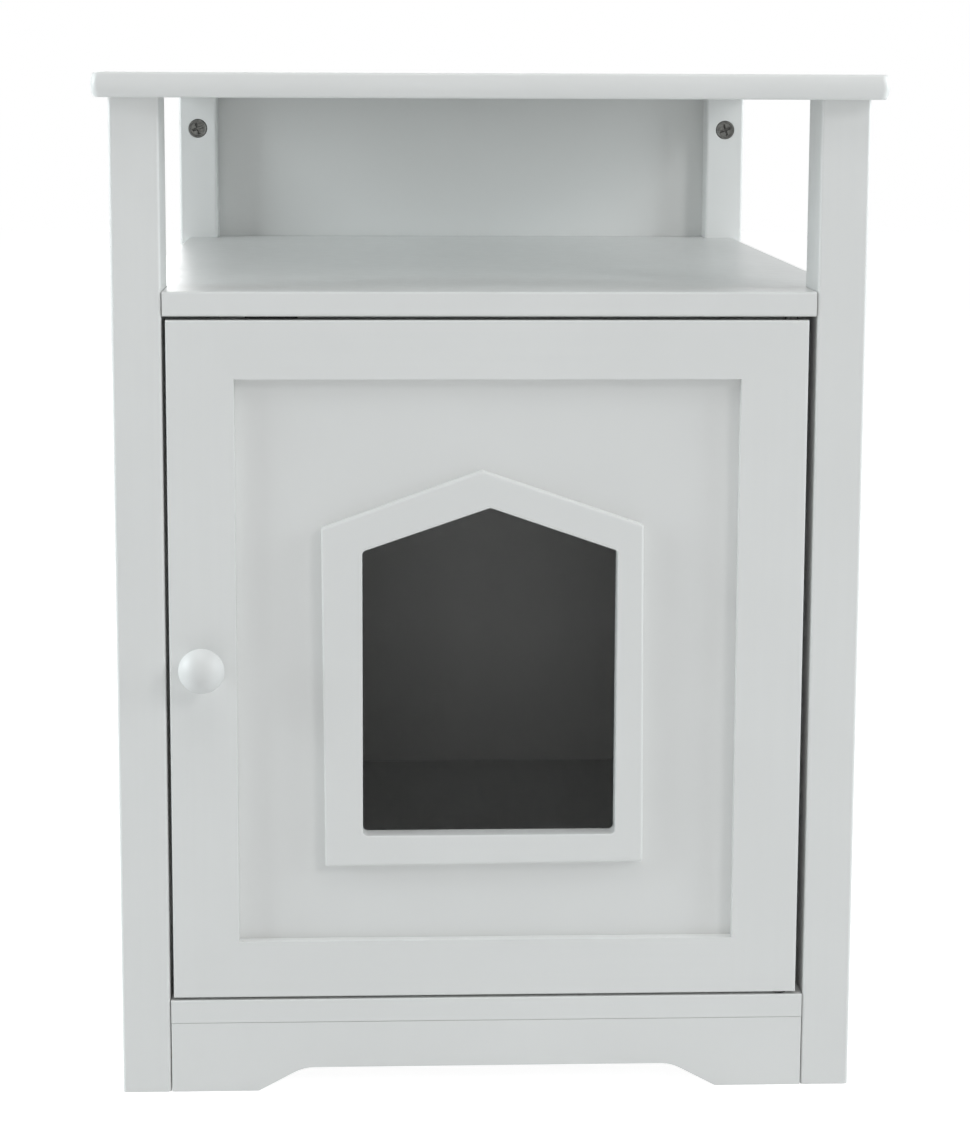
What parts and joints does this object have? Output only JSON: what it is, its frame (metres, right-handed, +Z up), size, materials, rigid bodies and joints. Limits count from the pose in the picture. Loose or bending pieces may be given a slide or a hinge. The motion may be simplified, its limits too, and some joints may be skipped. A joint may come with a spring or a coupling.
{
  "type": "cat litter box cabinet",
  "caption": "White side-table cabinet that hides a cat litter box: open shelf under the top, and a framed door with a raised house-shaped entrance and a round knob.",
  "frame": {"origin": "on the floor, under the middle of the object's bounding box, the knob included", "axes": "+Z up, the front faces -Y, +X is to the right as seen from the front"},
  "size_m": [0.475, 0.6076, 0.635],
  "materials": {
    "painted_board": "white satin paint on fibreboard and wood",
    "knob_paint": "white semi-gloss paint",
    "dowel_wood": "bare beech",
    "zinc": "dark zinc die casting",
    "bolt_steel": "zinc-plated steel",
    "bush_plastic": "dark moulded nylon",
    "magnet": "dark sintered ferrite"
  },
  "bodies": {
    "carcass": {"top_board": "painted_board", "post_front_left": "painted_board", "post_front_right": "painted_board", "post_back_left": "painted_board", "post_back_right": "painted_board", "side_panel_left": "painted_board", "side_panel_right": "painted_board", "shelf": "painted_board", "base_panel": "painted_board", "front_skirt": "painted_board", "back_board_upper": "painted_board", "back_panel_lower": "painted_board", "top_dowels": "dowel_wood", "shelf_dowels": "dowel_wood", "board_front_dowels": "dowel_wood", "side_panel_dowels": "dowel_wood", "back_panel_dowels": "dowel_wood", "back_board_dowels": "dowel_wood", "skirt_end_dowels": "dowel_wood", "skirt_top_dowels": "dowel_wood", "top_cam_locks": "zinc", "shelf_cam_locks": "zinc", "base_cam_locks": "zinc", "top_cam_bolts": "bolt_steel", "shelf_cam_bolts": "bolt_steel", "base_cam_bolts": "bolt_steel", "catch_pole_plates": "bolt_steel", "catch_screws": "bolt_steel", "pivot_bush_top": "bush_plastic", "pivot_bush_bottom": "bush_plastic", "catch_case": "bush_plastic", "catch_magnet": "magnet"},
    "door": {"door_latch_stile": "painted_board", "door_hinge_stile": "painted_board", "door_top_rail": "painted_board", "door_bottom_rail": "painted_board", "door_panel": "painted_board", "entry_trim": "painted_board", "door_dowels": "dowel_wood", "knob": "knob_paint", "knob_screw": "bolt_steel", "pivot_pin_top": "bolt_steel", "pivot_pin_bottom": "bolt_steel", "strike_plate": "bolt_steel", "strike_screw": "bolt_steel"}
  },
  "joints": [
    {"name": "door_swing", "type": "hinge", "parent": "carcass", "child": "door", "pos_m": [0.1845, -0.27225, 0.274], "axis": [0, 0, 1], "range_deg": [0, 120]}
  ]
}
